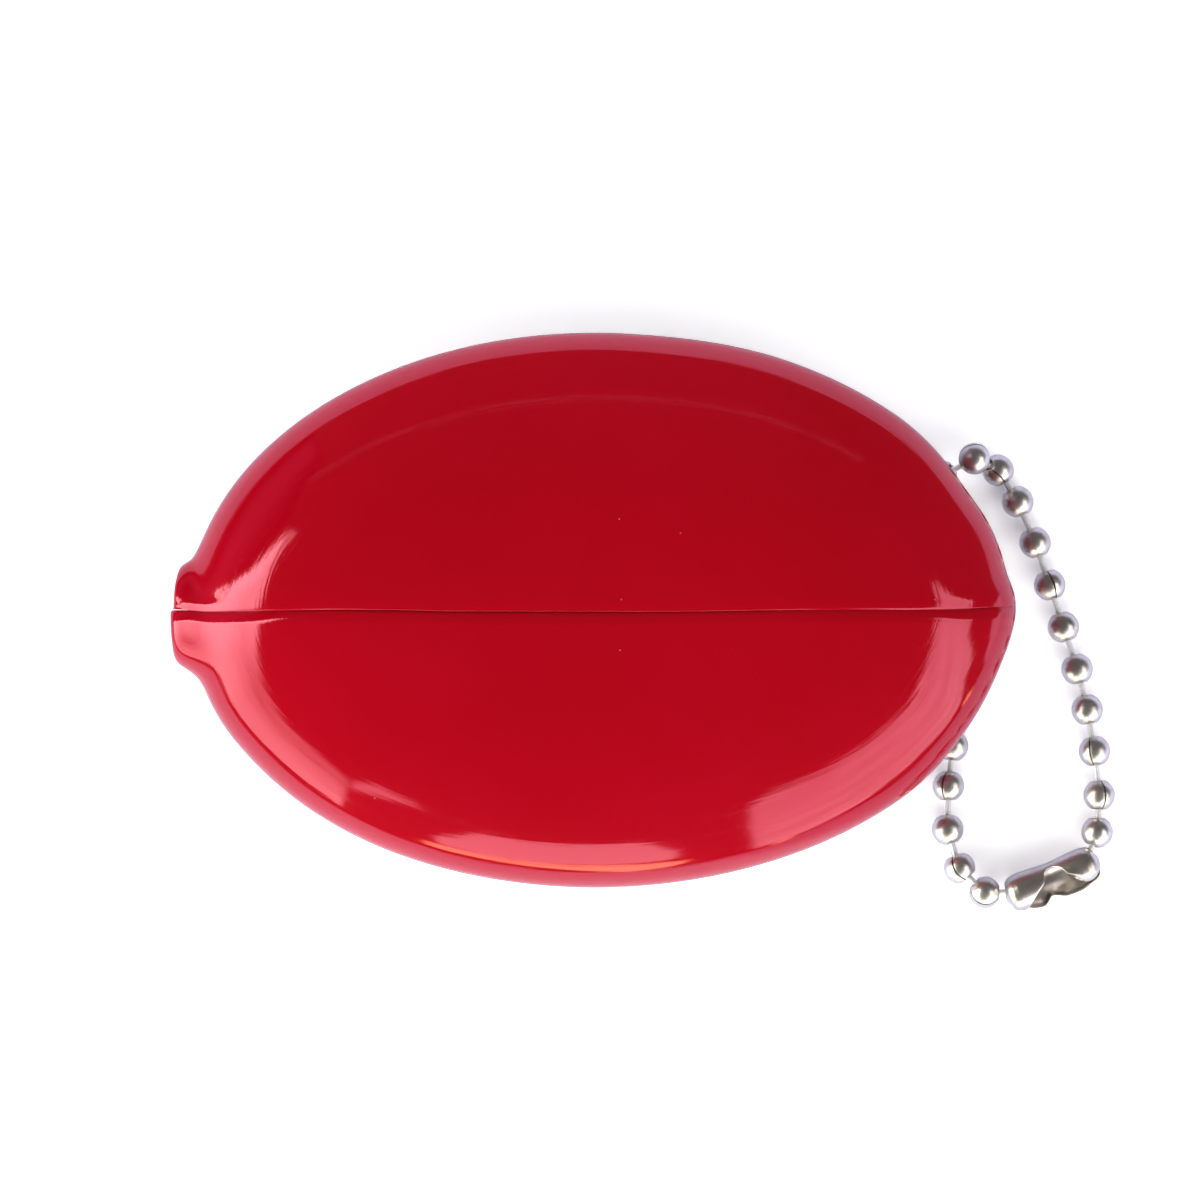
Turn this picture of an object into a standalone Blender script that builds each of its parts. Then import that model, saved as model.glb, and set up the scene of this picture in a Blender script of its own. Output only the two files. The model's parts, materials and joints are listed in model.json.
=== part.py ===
"""Moulded vinyl squeeze coin pouch with a ball chain looped through a lug under one end.

The pouch lies on its front panel with the slit facing up. Z is up, X runs along the slit
towards the chain, and the origin is the middle of the flat face that it rests on. Squeezing
the two ends bends the back along its sides, so its two panels swing up and the slit opens.
"""

import math

import bmesh
import bpy
from mathutils import Matrix, Vector

# Pouch outline, in metres
TIP_REACH = 0.0412
NECK_END_REACH = 0.0397
HALF_WIDTH = 0.02715

# Heights of the rim line over the table and of the back over the rim line
RIM_HEIGHT = 0.009
BACK_RISE = 0.010
WALL = 0.002

# The slit and the living hinges are cut lines of this width
CUT_GAP = 0.0003

# Shape of the outline and of the level lines inside it
TIP_NARROWING_SHARE = 0.35
TIP_START_SHARE = 0.7
LEVEL_LENGTH_POWER = 0.5
REST_FACE_SHARE = 0.25
FRONT_POWER = 1.4
OUTLINE_STEPS = 48
LEVEL_STEPS = 8

# Neck left by the mould on the end away from the chain
NECK_REACH = 0.0415
NECK_HALF_WIDTH = 0.0048
NECK_HALF_HEIGHT = 0.0034
NECK_SIDES = 24

# Lug under the tip, with the hole that one bead of the chain sits in
LUG_THICKNESS = 0.0024
LUG_RIM = 0.001
LUG_INSET = 0.0032
LUG_FLOOR_GAP = 0.0002
LUG_SIDES = 28
BEAD_IN_LUG_GAP = 0.00022

# Ball chain
BEAD_DIAMETER = 0.00315
BEAD_WALL = 0.00025
BEAD_SIDES = 10
BEAD_RINGS = 6
LINK_PLAY = 0.0013
WIRE_RADIUS = 0.00027
HEAD_RADIUS = 0.00074
HEAD_THICKNESS = 0.0003
HEAD_DEPTH = 0.00063
LINK_SIDES = 8

# Snap connector, a trough of folded sheet that holds the two end beads
CONNECTOR_WALL = 0.00025
CONNECTOR_PLAY = 0.00015
CONNECTOR_NECK_RADIUS = 0.0013
CONNECTOR_MOUTH_RADIUS = 0.00085
CONNECTOR_WRAP = math.radians(230)
CONNECTOR_TILT = math.radians(35)
CONNECTOR_STEPS = 14
KEYHOLE_GAP = 0.0004

# Cutters reach past what they cut by this much
OVERRUN = 0.003

# Points of a turned shape that meet on its axis are joined, and edges past this bend stay sharp
MERGE_DISTANCE = 0.00001
SHARP_EDGE = math.radians(35)

# Steps from the lug bead: heading in degrees, share of the link's play that is drawn out,
# and the next bead's height over the table as a share of its diameter
UPPER_STRAND_SHARES = [
    (98, 0.30, 0.15),
    (114, 0.27, 0.0),
    (116, 0.27, 0.0),
    (92, 0.27, 0.12),
    (28, 0.68, 0.70),
    (-24, 0.262, 0.0),
    (-58, 0.41, 0.0),
    (-67, 0.97, 0.0),
    (-71, 1.0, 0.0),
    (-72, 0.95, 0.0),
    (-72, 0.95, 0.0),
    (-76, 0.77, 0.0),
    (-80, 0.79, 0.0),
    (-84, 0.95, 0.0),
    (-93, 0.41, 0.0),
    (-111, 0.35, 0.127),
]
LOWER_STRAND_SHARES = [
    (-90, 0.30, 0.15),
    (-100, 0.27, 0.0),
    (-108, 0.27, 0.0),
    (-102, 0.27, 0.0),
    (-96, 0.65, 0.0),
    (-91, 0.90, 0.0),
    (-73, 0.65, 0.0),
    (-44, 0.28, 0.0),
    (1, 0.27, 0.127),
]

# Beads from the connector's upper end up to the one on each of the chain's joints
SIDE_PIVOT_COUNT = 5
BOTTOM_PIVOT_COUNT = 2
INNER_PIVOT_COUNT = 21
OPEN_PIVOT_COUNT = 24

BEAD_RADIUS = BEAD_DIAMETER / 2
LUG_HOLE_RADIUS = BEAD_RADIUS + BEAD_IN_LUG_GAP
LUG_RADIUS = LUG_HOLE_RADIUS + LUG_RIM
LUG_PLACE = Vector((TIP_REACH - LUG_INSET, 0, LUG_RADIUS + LUG_FLOOR_GAP))


def clear_scene():
    for item in list(bpy.data.objects):
        bpy.data.objects.remove(item)


def collection(name):
    made = bpy.data.collections.new(name)
    bpy.context.scene.collection.children.link(made)
    return made


def material(name, colour, roughness, metallic):
    made = bpy.data.materials.new(name)
    made.use_nodes = True
    shader = made.node_tree.nodes["Principled BSDF"]
    shader.inputs["Base Color"].default_value = (*colour, 1)
    shader.inputs["Roughness"].default_value = roughness
    shader.inputs["Metallic"].default_value = metallic
    return made


def object_from(name, build, group, finish=None):
    """Wrap a bmesh in a named object, smooth where it is round."""
    mesh = bpy.data.meshes.new(name)
    build.to_mesh(mesh)
    build.free()
    if finish:
        mesh.materials.append(finish)
    mesh.shade_smooth()
    mesh.set_sharp_from_angle(angle=SHARP_EDGE)
    made = bpy.data.objects.new(name, mesh)
    group.objects.link(made)
    return made


def cutter(name, build, group):
    made = object_from(name, build, group)
    made.hide_render = True
    made.display_type = "WIRE"
    return made


def pivot(name, place, group, parent=None):
    """An empty on a joint's axis."""
    made = bpy.data.objects.new(name, None)
    made.empty_display_size = BEAD_DIAMETER
    made.location = place
    if parent:
        made.parent = parent
        made.location = place - world_place(parent)
    group.objects.link(made)
    return made


def world_place(item):
    place = item.location.copy()
    while item.parent:
        item = item.parent
        place += item.location
    return place


def hang(item, place, parent):
    """Parent an object to a pivot and put its origin at a place in the room."""
    item.parent = parent
    item.location = place - world_place(parent)


def boolean(item, operation, tool):
    step = item.modifiers.new(operation.lower(), "BOOLEAN")
    step.operation = operation
    step.object = tool


def box(low, high):
    build = bmesh.new()
    size = Vector(high) - Vector(low)
    middle = (Vector(high) + Vector(low)) / 2
    bmesh.ops.create_cube(build, size=1, matrix=Matrix.Translation(middle) @ Matrix.Diagonal((*size, 1)))
    return build


def rod(radius, length, sides, matrix):
    build = bmesh.new()
    bmesh.ops.create_cone(
        build, cap_ends=True, segments=sides, radius1=radius, radius2=radius, depth=length, matrix=matrix
    )
    return build


def rim_point(turn):
    """Outline at an angle: two half ellipses, drawn in towards the tip at the chain's end."""
    along = math.cos(turn)
    reach = TIP_REACH if along > 0 else NECK_END_REACH
    towards_tip = max(0, (along - TIP_START_SHARE) / (1 - TIP_START_SHARE))
    narrowing = 1 - TIP_NARROWING_SHARE * towards_tip**3
    return reach * along, HALF_WIDTH * math.sin(turn) * narrowing


def level_ring(share, height):
    """A level line of the pouch: the outline shrunk, and less along its length than across it."""
    ring = []
    for step in range(OUTLINE_STEPS):
        x, y = rim_point(math.tau * step / OUTLINE_STEPS)
        ring.append(Vector((x * share**LEVEL_LENGTH_POWER, y * share, height)))
    return ring


def front_rings():
    """Level lines from the flat rest face out and up to just past the rim line."""
    rings = []
    for step in range(LEVEL_STEPS + 1):
        slope = math.pi / 2 * step / LEVEL_STEPS
        share = REST_FACE_SHARE + (1 - REST_FACE_SHARE) * math.sin(slope)
        rings.append(level_ring(share, RIM_HEIGHT * (1 - max(0, math.cos(slope)) ** FRONT_POWER)))
    rings.append(level_ring(1, RIM_HEIGHT + OVERRUN))
    return rings


def back_rings():
    """Level lines from just under the rim line up to the crown."""
    rings = [level_ring(1, RIM_HEIGHT - OVERRUN)]
    for step in range(LEVEL_STEPS):
        slope = math.pi / 2 * step / LEVEL_STEPS
        rings.append(level_ring(math.cos(slope), RIM_HEIGHT + BACK_RISE * math.sin(slope)))
    return rings


def loft(rings, cap_first, peak):
    """Bridge the rings; the first may be closed flat and the last may meet in a peak."""
    build = bmesh.new()
    made = [[build.verts.new(point) for point in ring] for ring in rings]
    count = len(rings[0])
    for lower, upper in zip(made[:-1], made[1:]):
        for step in range(count):
            after = (step + 1) % count
            build.faces.new((lower[step], lower[after], upper[after], upper[step]))
    if cap_first:
        build.faces.new(list(reversed(made[0])))
    if peak:
        top = build.verts.new(peak)
        for step in range(count):
            build.faces.new((made[-1][step], made[-1][(step + 1) % count], top))
    return build


def thicken(item):
    wall = item.modifiers.new("wall", "SOLIDIFY")
    wall.thickness = WALL
    wall.offset = -1
    wall.use_even_offset = True


def neck(name, group):
    """Oval stub of the mould's neck, from inside the wall out to its trimmed end."""
    length = NECK_REACH - NECK_END_REACH + WALL / 2
    middle = Vector((length / 2 - NECK_REACH, 0, RIM_HEIGHT))
    squash = Matrix.Diagonal((NECK_HALF_HEIGHT, NECK_HALF_WIDTH, 1, 1))
    matrix = Matrix.Translation(middle) @ Matrix.Rotation(math.pi / 2, 4, "Y") @ squash
    return cutter(name, rod(1, length, NECK_SIDES, matrix), group)


def lug(group):
    """Round lug under the tip and the cutter of its cross hole."""
    across = Matrix.Translation(LUG_PLACE) @ Matrix.Rotation(math.pi / 2, 4, "X")
    body = cutter("lug_body", rod(LUG_RADIUS, LUG_THICKNESS, LUG_SIDES, across), group)
    hole_length = LUG_THICKNESS + 2 * LUG_RIM
    hole = cutter("lug_hole", rod(LUG_HOLE_RADIUS, hole_length, LUG_SIDES, across), group)
    return body, hole


def keep_box(name, side, group):
    """Room on one side of the slit and over the living hinge, or under it for the front."""
    reach = TIP_REACH + OVERRUN
    width = HALF_WIDTH + OVERRUN
    top = RIM_HEIGHT + BACK_RISE + OVERRUN
    if side == 0:
        build = box((-reach, -width, -OVERRUN), (reach, width, RIM_HEIGHT - CUT_GAP / 2))
    else:
        near, far = sorted((side * CUT_GAP / 2, side * width))
        build = box((-reach, near, RIM_HEIGHT + CUT_GAP / 2), (reach, far, top))
    return cutter(name, build, group)


def front_shell(group, cutters, finish):
    """Front panel, side wall up to the rim line, chain lug and lower half of the neck."""
    made = object_from("front_shell", loft(front_rings(), True, None), group, finish)
    thicken(made)
    body, hole = lug(cutters)
    boolean(made, "UNION", neck("neck_front", cutters))
    boolean(made, "UNION", body)
    boolean(made, "DIFFERENCE", hole)
    boolean(made, "INTERSECT", keep_box("room_front", 0, cutters))
    return made


def back_panel(name, side, group, cutters, finish):
    """Half of the back, from the slit to the living hinge along its side of the rim."""
    crown = Vector((0, 0, RIM_HEIGHT + BACK_RISE))
    made = object_from(name, loft(back_rings(), False, crown), group, finish)
    thicken(made)
    boolean(made, "UNION", neck("neck_" + name, cutters))
    boolean(made, "INTERSECT", keep_box("room_" + name, side, cutters))
    hinge = Vector((0, side * HALF_WIDTH, RIM_HEIGHT))
    made.data.transform(Matrix.Translation(-hinge))
    made.location = hinge
    return made


def strand(steps):
    """Bead centres along one strand, walked from the bead in the lug."""
    places = []
    here = LUG_PLACE
    for heading, gap_share, rise_share in steps:
        height = BEAD_RADIUS + rise_share * BEAD_DIAMETER
        spacing = BEAD_DIAMETER + LINK_PLAY * gap_share
        run = math.sqrt(spacing**2 - (height - here.z) ** 2)
        turn = math.radians(heading)
        here = Vector((here.x + run * math.cos(turn), here.y + run * math.sin(turn), height))
        places.append(here)
    return places


def chain_places():
    """All bead centres, from the connector's upper end round to its lower end."""
    upper = strand(UPPER_STRAND_SHARES)
    return list(reversed(upper)) + [LUG_PLACE] + strand(LOWER_STRAND_SHARES)


def bead(name, place, to_last, to_next, group, finish):
    """Hollow bead, open where its two links enter, so its holes follow a bend in the chain."""
    build = bmesh.new()
    bmesh.ops.create_uvsphere(build, u_segments=BEAD_SIDES, v_segments=BEAD_RINGS, radius=BEAD_RADIUS)
    ends = sorted(build.verts, key=lambda vert: vert.co.z)
    bmesh.ops.delete(build, geom=[ends[0], ends[-1]], context="VERTS")
    axis = (to_next - to_last).normalized()
    frame = axis.to_track_quat("Z", "Y").to_matrix()
    bend_axis = axis.cross(to_next)
    bend = bend_axis.length
    for vert in build.verts:
        share = vert.co.z / BEAD_RADIUS
        vert.co = frame @ vert.co
        if bend > 0:
            vert.co = Matrix.Rotation(math.asin(bend) * share, 3, bend_axis.normalized()) @ vert.co
    made = object_from(name, build, group, finish)
    wall = made.modifiers.new("wall", "SOLIDIFY")
    wall.thickness = BEAD_WALL
    wall.offset = -1
    made.location = place
    return made


def link(name, start, end, group, finish):
    """Wire between two beads with a flat head inside each, turned about its own axis."""
    reach = (end - start).length / 2 - HEAD_DEPTH
    neck_end = reach - HEAD_THICKNESS
    outline = [
        (0, reach),
        (HEAD_RADIUS, reach),
        (HEAD_RADIUS, neck_end),
        (WIRE_RADIUS, neck_end),
        (WIRE_RADIUS, -neck_end),
        (HEAD_RADIUS, -neck_end),
        (HEAD_RADIUS, -reach),
        (0, -reach),
    ]
    made = turned(name, outline, math.tau, LINK_SIDES, group, finish)
    made.rotation_mode = "QUATERNION"
    made.rotation_quaternion = (end - start).to_track_quat("Z", "Y")
    return made


def turned(name, outline, angle, steps, group, finish):
    """A profile of radius and height points, turned about Z."""
    build = bmesh.new()
    points = [build.verts.new((radius, 0, height)) for radius, height in outline]
    for first, second in zip(points[:-1], points[1:]):
        build.edges.new((first, second))
    made = object_from(name, build, group, finish)
    screw = made.modifiers.new("turn", "SCREW")
    screw.angle = angle
    screw.steps = steps
    screw.render_steps = steps
    screw.use_merge_vertices = True
    screw.merge_threshold = MERGE_DISTANCE
    screw.use_smooth_shade = True
    return made


def connector_outline(span):
    """Outer profile, from one end's mouth over its bead cup, the waist and the other cup."""
    cup = BEAD_RADIUS + CONNECTOR_PLAY + CONNECTOR_WALL
    mouth = math.asin((CONNECTOR_MOUTH_RADIUS + CONNECTOR_WALL) / cup)
    waist = math.pi - math.asin(CONNECTOR_NECK_RADIUS / cup)
    half = []
    for step in range(CONNECTOR_STEPS // 2 + 1):
        turn = mouth + (waist - mouth) * step / (CONNECTOR_STEPS // 2)
        half.append((cup * math.sin(turn), span / 2 + cup * math.cos(turn)))
    return half + [(radius, -height) for radius, height in reversed(half)]


def keyhole(name, start, towards, group):
    """Cutter along a link where it leaves the connector's end."""
    length = BEAD_DIAMETER
    turn = (towards - start).to_track_quat("Z", "Y").to_matrix().to_4x4()
    matrix = Matrix.Translation(start) @ turn @ Matrix.Translation((0, 0, length / 2))
    return cutter(name, rod(WIRE_RADIUS + KEYHOLE_GAP, length, LINK_SIDES * 2, matrix), group)


def connector(places, group, cutters, finish):
    """Trough that grips the first and last bead, open on its outer side."""
    first = places[0]
    last = places[-1]
    along = (first - last).normalized()
    outline = connector_outline((first - last).length)
    made = turned("chain_connector", outline, CONNECTOR_WRAP, CONNECTOR_STEPS, group, finish)
    wall = made.modifiers.new("wall", "SOLIDIFY")
    wall.thickness = CONNECTOR_WALL
    wall.offset = -1
    wall.use_even_offset = True
    level = Vector((along.y, -along.x, 0)).normalized()
    opening = level * math.cos(CONNECTOR_TILT) + along.cross(level) * -math.sin(CONNECTOR_TILT)
    side = along.cross(opening)
    middle = math.pi + CONNECTOR_WRAP / 2
    local_x = opening * math.cos(middle) - side * math.sin(middle)
    local_y = opening * math.sin(middle) + side * math.cos(middle)
    made.matrix_world = Matrix.Translation((first + last) / 2) @ Matrix(
        (local_x, local_y, along)
    ).transposed().to_4x4()
    boolean(made, "DIFFERENCE", keyhole("keyhole_first", first, places[1], cutters))
    boolean(made, "DIFFERENCE", keyhole("keyhole_last", last, places[-2], cutters))
    return made


def ball_chain(group, cutters, finish):
    """Beads, links and connector, each hung on the pivot of the stretch that it moves with."""
    places = chain_places()
    lug_bead = len(UPPER_STRAND_SHARES) + 1
    lift = pivot("chain_lift_pivot", LUG_PLACE, group)
    base = pivot("chain_base_pivot", LUG_PLACE, group, lift)
    side = pivot("chain_side_pivot", places[SIDE_PIVOT_COUNT - 1], group, base)
    bottom = pivot("chain_bottom_pivot", places[BOTTOM_PIVOT_COUNT - 1], group, side)
    inner = pivot("chain_inner_pivot", places[INNER_PIVOT_COUNT - 1], group, base)

    def bead_pivot(number):
        if number == lug_bead:
            return lift
        if number < BOTTOM_PIVOT_COUNT or number >= OPEN_PIVOT_COUNT:
            return bottom
        if number < SIDE_PIVOT_COUNT:
            return side
        return inner if number > INNER_PIVOT_COUNT else base

    def link_pivot(number):
        if number < BOTTOM_PIVOT_COUNT or number >= OPEN_PIVOT_COUNT:
            return bottom
        if number < SIDE_PIVOT_COUNT:
            return side
        return inner if number >= INNER_PIVOT_COUNT else base

    for number, place in enumerate(places, 1):
        to_last = (places[number - 2] - place).normalized() if number > 1 else None
        to_next = (places[number] - place).normalized() if number < len(places) else -to_last
        if to_last is None:
            to_last = -to_next
        made = bead(f"bead_{number:02d}", place, to_last, to_next, group, finish)
        hang(made, place, bead_pivot(number))
    for number, (start, end) in enumerate(zip(places[:-1], places[1:]), 1):
        made = link(f"link_{number:02d}", start, end, group, finish)
        hang(made, (start + end) / 2, link_pivot(number))
    made = connector(places, group, cutters, finish)
    hang(made, made.location.copy(), bottom)


def main():
    clear_scene()
    parts = collection("coin_pouch")
    cutters = collection("cutters")
    vinyl = material("red_vinyl", (0.41, 0.002, 0.012), 0.18, 0)
    nickel = material("nickel_plate", (0.62, 0.58, 0.54), 0.16, 1)
    front_shell(parts, cutters, vinyl)
    back_panel("back_panel_upper", 1, parts, cutters, vinyl)
    back_panel("back_panel_lower", -1, parts, cutters, vinyl)
    ball_chain(parts, cutters, nickel)


main()
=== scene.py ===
"""Looks of the squeeze coin pouch and its ball chain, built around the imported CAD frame.

Shapes are worked out in millimetres on numpy grids and become metres when a mesh is made.
The pouch lies on its front panel, X runs along the slit towards the chain and Z is up.
"""

import json
import math

import bmesh
import bpy
import numpy as np
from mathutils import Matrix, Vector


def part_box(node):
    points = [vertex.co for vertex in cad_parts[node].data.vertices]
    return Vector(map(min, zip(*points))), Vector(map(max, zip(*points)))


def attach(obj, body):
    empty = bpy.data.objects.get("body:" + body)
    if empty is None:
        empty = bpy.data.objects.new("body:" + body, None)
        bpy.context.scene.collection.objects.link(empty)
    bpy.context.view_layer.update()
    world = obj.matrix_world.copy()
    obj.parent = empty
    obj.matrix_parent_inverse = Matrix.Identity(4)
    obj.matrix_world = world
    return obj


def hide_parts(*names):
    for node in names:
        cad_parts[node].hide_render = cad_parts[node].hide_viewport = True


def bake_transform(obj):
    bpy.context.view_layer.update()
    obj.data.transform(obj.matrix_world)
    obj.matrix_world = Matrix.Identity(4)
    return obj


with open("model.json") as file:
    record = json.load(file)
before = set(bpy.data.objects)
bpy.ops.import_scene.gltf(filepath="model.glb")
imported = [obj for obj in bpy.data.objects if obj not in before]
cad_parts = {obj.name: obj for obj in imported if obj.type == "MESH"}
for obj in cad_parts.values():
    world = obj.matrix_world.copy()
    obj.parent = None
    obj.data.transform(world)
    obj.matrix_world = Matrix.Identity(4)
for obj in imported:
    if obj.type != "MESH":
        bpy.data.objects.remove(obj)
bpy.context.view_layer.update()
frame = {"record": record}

MM = 0.001
BEHAVIOUR = frame["record"]["behaviour"]
BODY_OF = {node: body for body, nodes in BEHAVIOUR["bodies"].items() for node in nodes}
JOINT_PLACE = {joint["name"]: np.array(joint["pos_m"]) / MM for joint in BEHAVIOUR["joints"]}
SHARP_EDGE = 40

# Pouch, as in the CAD model; the hinge of a back panel stands on the side of the rim
HALF_WIDTH, RIM_HEIGHT = JOINT_PLACE["back_upper_bend"][1:]
CROWN_HEIGHT = 19.0
TIP_REACH = 41.2
NECK_END_REACH = 39.7
WALL = 2.0
TIP_NARROWING = 0.35
TIP_START = 0.7
REST_SHARE = 0.25
FRONT_POWER = 1.4

# Steps of the skins; along the pouch they are finer near the left and the right tip
SKIN_STEPS = 250
FINE_LEFT = 0.55
FINE_LEFT_WIDTH = 0.16
FINE_RIGHT = 0.3
FINE_RIGHT_WIDTH = 0.1
ACROSS_STEPS = 104
LIP_STEPS = 8
INSIDE_STEPS = 30
FRONT_STEPS = 60

# Centimetres of the vinyl's map for a radian round the pouch, and from the rim to the middle
MAP_ROUND = 3.4
MAP_INWARD = 2.7

# Stub of the mould's neck on the left end: its reach, the oblong of its face, and its foot
NUB_PUSH_UPPER = 1.5
NUB_PUSH_LOWER = 1.8
NUB_HALF_WIDTH = 5.1
NUB_HALF_HEIGHT = 3.6
NUB_SIDE_SHIFT = -0.5
NUB_SIDE_POWER_UPPER = 1.0
NUB_SIDE_POWER_LOWER = 1.5
NUB_EDGE_POWER_UPPER = 26
NUB_EDGE_POWER_LOWER = 10
NUB_FOOT_SHARE = 1.15
NUB_FOOT_PUSH = 0.45
NUB_FOOT_POWER = 7

# Lips of the slit; the lower one sags towards its edge and is cut at a slant by the stub. Gap
# and roundings shrink within the room by a tip, and no rounding is over a share of the width
TIP_ROOM = 0.6
LIP_SHARE = 0.6
LIP_GAP = 0.005
LIP_ROUND = 0.07
LIP_ROUND_LOWER = 0.015
LIP_ROUND_FAR = 0.27
LIP_CHAMFER = 0.95
LIP_SPREAD = 0.16
LIP_SAG = 0.33
LIP_SAG_UPPER = 0.25 * LIP_SAG
LIP_SAG_WIDTH = 1.25
SEAM_BAND = 0.004
SEAM_GAP = 0.012

# Unevenness of the moulding: the slit's way off the middle line by x, and bulges
SLIT_WANDER = (
    (-40, -0.1), (-38, -0.26), (-33, -0.27), (-28, -0.15), (-23, -0.08), (-19, -0.1), (-14, -0.22),
    (4, -0.24), (10, -0.2), (20, -0.03), (31, -0.03), (36, 0.05), (39, 0.22), (41, 0.25),
)
SLIT_WANDER_WIDTH = 9
FULLER_SIDE = 0.22
FULLER = 0.36
LEANER = 0.16
BULGE = 0.24
BULGE_UPPER = 0.3

# Lug for the chain, with a gusset at some turn from X upwards
LUG_HOLE_RADIUS = 1.795
LUG_RADIUS = 2.795
LUG_HALF_THICKNESS = 1.2
LUG_ROUNDNESS = 0.35
GUSSET_REACH = 0.9
GUSSET_TURN = 0.95
GUSSET_WIDTH = 0.42

# Ball chain; the loop is open at one bead, which has larger holes for a deeper head
BEAD_RADIUS = 1.575
BEAD_WALL = 0.25
BEAD_HOLE_RADIUS = 0.66
FREE_BEAD = 24
FREE_HOLE_RADIUS = 0.9
BEAD_SEAM_DEPTH = 0.05
BEAD_SEAM_HALF_WIDTH = 0.045
WIRE_RADIUS = 0.29
WIRE_FILLET = 0.08
HEAD_RADIUS = 0.6
HEAD_THICKNESS = 0.3
HEAD_DOME = 0.16
HEAD_EDGE = 0.06
HEAD_DEPTH = 0.63
FREE_LINK = 23
FREE_HEAD_DEPTH = 0.38
FREE_HEAD_RADIUS = 0.5

# Degrees round each bead from its top to its rolled seam, where the seam shows
SEAM_TURNS = {3: 20, 4: -20, 8: 12, 11: -14, 12: 62, 22: 25, 24: 20, 25: 48}
SEAM_STEPS = np.array([-0.09, -0.06, -0.03, -0.015, 0, 0.015, 0.03, 0.06, 0.09])

# Connector: sheet, half length and steps, then pairs of a place along it and a radius, the turns
# in degrees from the top to the edges of its flanges, or the way that the lower one flares out
CONNECTOR_SHEET = 0.2
CONNECTOR_HALF_LENGTH = 4.72
CONNECTOR_STEPS = 61
CONNECTOR_EDGE_STEPS = 4
CONNECTOR_RADIUS = (
    (0, 1.7), (1, 1.76), (2, 1.86), (3, 1.9), (3.6, 1.88), (4.1, 1.76), (4.4, 1.6), (4.6, 1.38),
    (4.68, 1.2), (4.72, 0.85),
)
CONNECTOR_UPPER_EDGE = (
    (-4.7, 100), (-3.6, 96), (-3.2, 62), (-2.1, 24), (-0.95, -2), (-0.65, -36), (-0.3, -50),
    (0.35, -50), (0.9, -38), (1.2, -26), (1.5, -4), (2.15, 8), (2.8, 22), (4.2, 34), (4.6, 40),
)
CONNECTOR_LOWER_EDGE = ((-4.7, 120), (-3.4, 116), (-3.0, 104), (3.2, 104), (4.2, 92), (4.7, 80))
CONNECTOR_FLARE = (
    (-4.7, 0), (-3.6, 0), (-3.1, 0.1), (-2.4, 0.36), (-1.6, 0.55), (-1.2, 0.35), (-0.67, -0.1),
    (-0.3, 0), (0.3, 0.3), (0.83, 0.5), (1.6, 0.44), (2.4, 0.38), (3.2, 0.2), (4.1, 0), (4.7, 0),
)

# Surfaces: base colours and roughness; the bounce is a painted grey that stands in for the red to light
# that spreads and, at half share, to reflections
VINYL_COOL = (0.405, 0.0003, 0.0065)
VINYL_WARM = (0.425, 0.0004, 0.0085)
VINYL_DUST = (0.72, 0.22, 0.25)
VINYL_BOUNCE = (0.1, 0.08, 0.1)
VINYL_TINT = (1.0, 0.34, 0.5)
VINYL_ROUGH = 0.05
VINYL_ROUGH_INSIDE = 0.4
BEAD_PLATE = (0.78, 0.75, 0.73)
WIRE_PLATE = (1.0, 1.0, 1.0)
WIRE_METALLIC = 0.2
SHEET_PLATE = (0.72, 0.69, 0.66)
CLOUD_SHARE = 0.88
DIRT = (0.03, 0.027, 0.025)
BUMP_UNIT = 0.00001

# Table; its white top is seen mirrored between these edges, in metres, left to far, and in
# reflections it has painted colours, bluer and brighter than its lit one, most on the near side, up to
# the chain
TABLE_HALF = 4.0
TABLE_HEIGHT = -0.00005
TABLE_EDGES = (-0.15, 0.13, -0.24, 0.5)
TABLE_BLUR = 0.02
TABLE_LIT = (0.88, 0.88, 0.88)
TABLE_SEEN = (1.78, 1.78, 1.79)
PAINTED_REFLECTION_NEAR = (1.35, 1.47, 1.66)
PAINTED_REFLECTION_FAR = (0.95, 0.94, 1.2)
NEAR_FADE = (-0.06, 0.04)
CHAIN_FADE = (0.026, 0.04)

# Openings of the room that are mirrored; the creased one is brighter up to some azimuth
WINDOW_DISTANCE = 0.9
WINDOW_LIGHT = 4.2
WINDOW_SIDE_BLUR = 1.2
WARM = (1.0, 0.74, 0.36)
PALE = (1, 1, 1.2)
CEILING = (0.1, 0.092, 0.086)
CREASE_AZIMUTHS = (195, 215)
BRIGHT_AZIMUTHS = (180, 212)
BRIGHTER = 1.2
UPWARD_SHARES = (0.35, 0.85)
UPWARD_DIMMING = 0.3

# Light that isn't mirrored: overhead, added towards the horizon, and lamps, each with its
# azimuth, elevation and strength
FILL = 0.12
FILL_LOW = 0.98
LAMPS = (
    (315, 38, 0.27), (315, 14, 0.16), (255, 38, 0.13), (255, 14, 0.56), (200, 14, 0.5),
    (145, 14, 0.38), (90, 38, 0.24),
)
LAMP_SPREAD = 55

# Photograph: 1200 pixels across, this many millimetres to a pixel at the height of the rim
PIXEL = 0.0982
PHOTO_SIZE = 1200
PHOTO_ORIGIN = (594, 609)
CAMERA_HEIGHT = 0.7
SENSOR_WIDTH = 36


def ramp(value, low, high):
    """Smooth step: 0 below low, 1 above high, and an S-shaped cubic between."""
    share = np.clip((value - low) / (high - low), 0, 1)
    return share * share * (3 - 2 * share)


def bell(value, middle, width):
    """1 at the middle, falling off as exp(-((value - middle) / width)^2)."""
    return np.exp(-(((value - middle) / width) ** 2))


def between(first, second, share):
    """The first value at share 0 and the second at share 1."""
    return first + (second - first) * share


def trace(value, pairs):
    """Straight lines between pairs of a place and a height."""
    places, heights = zip(*pairs)
    return np.interp(value, places, heights)


def smooth(values, passes):
    """Average each value with its neighbours, a few times over."""
    for _ in range(passes):
        padded = np.concatenate([values[:1], values, values[-1:]])
        values = (padded[:-2] + 2 * padded[1:-1] + padded[2:]) / 4
    return values


def stack(*parts):
    """Join arrays of any matching shapes into points, or into U and V."""
    return np.stack(np.broadcast_arrays(*parts), axis=-1).astype(float)


# Meshes


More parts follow.
